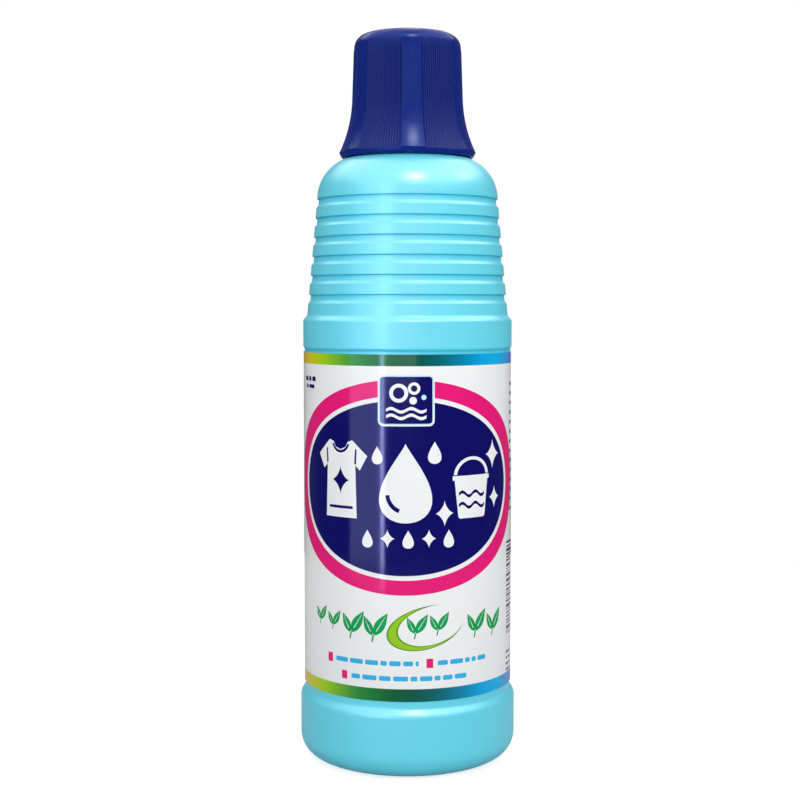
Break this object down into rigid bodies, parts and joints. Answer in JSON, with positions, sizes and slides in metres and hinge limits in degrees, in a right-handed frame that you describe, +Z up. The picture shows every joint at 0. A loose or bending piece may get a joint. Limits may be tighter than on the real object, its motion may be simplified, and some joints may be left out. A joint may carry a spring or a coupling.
{
  "type": "bleach bottle",
  "caption": "Tall round plastic bleach bottle with a wraparound label, a ribbed shoulder and a knurled screw cap with a flared skirt that unscrews and lifts off.",
  "frame": {"origin": "centre of the standing ring, on the surface that the bottle stands on", "axes": "+Z up along the bottle's axis, the front of the label faces -Y, +X to the right of the front"},
  "size_m": [0.07, 0.07, 0.234],
  "materials": {
    "bottle_plastic": "satin blow-moulded polyethylene, sky blue",
    "label_film": "glossy printed film",
    "cap_plastic": "satin moulded polypropylene, deep blue",
    "liner_foam": "foamed polyethylene"
  },
  "bodies": {
    "bottle": {"bottle": "bottle_plastic", "label": "label_film"},
    "liner": {"cap_liner": "liner_foam"},
    "cap": {"cap": "cap_plastic"}
  },
  "joints": [
    {"name": "cap_rise", "type": "slide", "parent": "bottle", "child": "liner", "axis": [0, 0, 1], "range_m": [0, 0.0401]},
    {"name": "cap_turn", "type": "hinge", "parent": "liner", "child": "cap", "pos_m": [0, 0, 0.214], "axis": [0, 0, 1], "range_deg": [0, 1800]}
  ],
  "couplings": [
    {"joint": "cap_rise", "follows": "cap_turn", "m_per_rad": 0.0012732}
  ]
}
